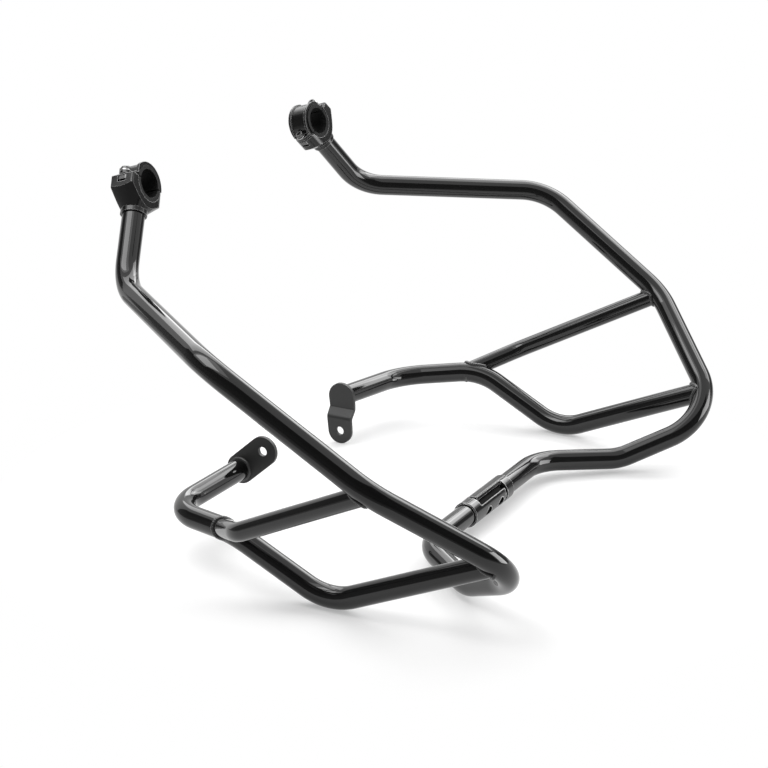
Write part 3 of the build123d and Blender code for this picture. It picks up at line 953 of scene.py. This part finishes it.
floor_material = bpy.data.materials.new("pale_floor")
tree = clear_tree(floor_material)
away = measure(tree, "LENGTH", add_node(tree, "ShaderNodeTexCoord").outputs["Object"])
lift = spread(tree, away, fade_near, fade_far, floor_lift, 1.0)
pale = spread(tree, away, fade_near, fade_far, floor_colour, 0.0)
paint = add_node(tree, "ShaderNodeBsdfDiffuse", {"Color": pale})
glow = add_node(tree, "ShaderNodeEmission", {
    "Color": grey(1), "Strength": calc(tree, "MULTIPLY", background_rays(tree), lift)})
both = add_node(tree, "ShaderNodeAddShader", {0: paint.outputs[0], 1: glow.outputs[0]})
add_node(tree, "ShaderNodeOutputMaterial", {"Surface": both.outputs[0]})
floor_mesh = bpy.data.meshes.new("studio_floor")
floor_mesh.from_pydata(
    [(x * floor_half, y * floor_half, -floor_drop) for x, y in square_corners], [], [(0, 1, 2, 3)])
floor_mesh.materials.append(floor_material)
floor = link_mesh(floor_mesh, "studio_floor")
print("floor", 2 * floor_half, "m wide")

# %% [markdown]
# ## Dark cloth, apron and card
# Round the camera's side hangs a grey cloth, with an apron of it on the floor and a grey card behind the
# bars. The tubes mirror them, and that is what makes their near faces look black. The camera itself looks
# past them, and they throw no shadow. Darker paint would not do: a gloss coat shows its surroundings.

# %% Grey sheets
cloth_colour = 0.36
cloth_material = bpy.data.materials.new("grey_cloth")
tree = clear_tree(cloth_material)
weave = add_node(tree, "ShaderNodeBsdfDiffuse", {"Color": grey(cloth_colour)})
add_node(tree, "ShaderNodeOutputMaterial", {"Surface": weave.outputs[0]})


def at_turn(turn, radius, height):
    """A point at an angle round the bars, a distance away and above the floor."""
    return Vector((math.cos(turn) * radius, math.sin(turn) * radius, height))


def grey_sheet(name, columns):
    """A sheet through pairs of points that only reflections and soft light can see."""
    mesh = bpy.data.meshes.new(name)
    quads = [(2 * k, 2 * k + 1, 2 * k + 3, 2 * k + 2) for k in range(len(columns) - 1)]
    mesh.from_pydata([point for column in columns for point in column], [], quads)
    mesh.materials.append(cloth_material)
    sheet = link_mesh(mesh, name)
    sheet.visible_camera = False
    sheet.visible_shadow = False
    print(name, "faces", len(quads))
    return sheet


# %% Cloth and apron
cloth_from = math.radians(88)
cloth_to = math.radians(282)
cloth_folds = 32
cloth_radius = 2.8
cloth_left_height = 1.9
cloth_front_height = 3.4
cloth_rise_turn = math.radians(72)
apron_radius = 0.8
apron_height = 2 * MM
cloth_turns = [cloth_from + (cloth_to - cloth_from) * k / cloth_folds for k in range(cloth_folds + 1)]


def cloth_height(turn):
    """The cloth is lower at its left end, and rises to its full height within a part turn."""
    risen = min((turn - cloth_from) / cloth_rise_turn, 1)
    return cloth_left_height + (cloth_front_height - cloth_left_height) * risen


grey_sheet("dark_cloth", [
    (at_turn(turn, cloth_radius, 0), at_turn(turn, cloth_radius, cloth_height(turn)))
    for turn in cloth_turns])
apron = grey_sheet("cloth_apron", [
    (at_turn(turn, apron_radius, apron_height), at_turn(turn, cloth_radius, apron_height))
    for turn in cloth_turns])
apron.visible_diffuse = False

# %% Card
card_from = math.radians(-42)
card_to = math.radians(-3)
card_radius = 2.2
card_height = 0.75
grey_sheet("grey_card", [
    (at_turn(turn, card_radius, 0), at_turn(turn, card_radius, card_height))
    for turn in (card_from, (card_from + card_to) / 2, card_to)])

# %% [markdown]
# ## Studio light
# A gloss black tube shows almost nothing but reflections, so the light is read from the photograph's
# highlights: a large box overhead that reaches far behind the bars, a smaller one above the left half with a
# dim halo, a key box and a narrow band behind at the right, and a low strip at the camera's right. A picture
# of a studio could light the scene too, but boxes can be moved one at a time. A lamp's power depends on its
# size, so each box is given the brightness of its face instead.
# The world is white where it is seen or mirrored, and gives only a little light of its own.

# %% World
fill_strength = 0.25
world = bpy.data.worlds.new("white_studio")
scene.world = world
tree = clear_tree(world)
strength = mix(tree, "FLOAT", background_rays(tree), fill_strength, 1.0)
sky = add_node(tree, "ShaderNodeBackground", {"Color": grey(1), "Strength": strength})
add_node(tree, "ShaderNodeOutputWorld", {"Surface": sky.outputs[0]})
scene.view_settings.view_transform = "Standard"
print("world fill", fill_strength)

# %% Softboxes
view_turn = math.radians(90 + camera_heading)
overhead_height = 1.4
bars_middle = Vector((0, 0, 0.22))


def softbox(name, spot, turn, width, length, radiance):
    """A soft lamp whose face has the given radiance, whatever its size."""
    lamp = bpy.data.lights.new(name, "AREA")
    lamp.shape = "RECTANGLE"
    lamp.size = width
    lamp.size_y = length
    lamp.energy = radiance * math.pi * width * length
    box = bpy.data.objects.new(name, lamp)
    scene.collection.objects.link(box)
    box.location = spot
    box.rotation_euler = turn
    box.visible_camera = False
    print(name, round(lamp.energy, 1), "watts")


def overhead_box(name, ahead, left, width, length, radiance):
    """A box that hangs level, ahead of the bars' middle and to its left as the camera sees it."""
    spot = at_turn(view_turn, ahead, overhead_height) + at_turn(view_turn + math.pi / 2, left, 0)
    softbox(name, spot, (0, 0, view_turn - math.pi / 2), width, length, radiance)


def standing_box(name, heading, rise, distance, width, length, radiance):
    """A box that faces the bars' middle, from a heading and a rise in degrees."""
    way = at_turn(math.radians(heading), math.cos(math.radians(rise)), math.sin(math.radians(rise)))
    facing = (-way).to_track_quat("-Z", "Y").to_euler()
    softbox(name, bars_middle + way * distance, facing, width, length, radiance)


overhead_box("overhead_box", ahead=1.6, left=0.0, width=2.4, length=2.4, radiance=2.5)
overhead_box("left_box", ahead=-0.35, left=0.85, width=0.9, length=0.8, radiance=5.0)
overhead_box("left_box_halo", ahead=-0.35, left=0.95, width=1.8, length=1.0, radiance=1.3)
standing_box("key_box", heading=-22, rise=35, distance=1.9, width=1.4, length=1.0, radiance=2.8)
standing_box("right_strip", heading=-66, rise=5, distance=1.3, width=0.7, length=0.6, radiance=6.0)
standing_box("back_band", heading=0, rise=31, distance=2.4, width=3.6, length=0.4, radiance=2.5)
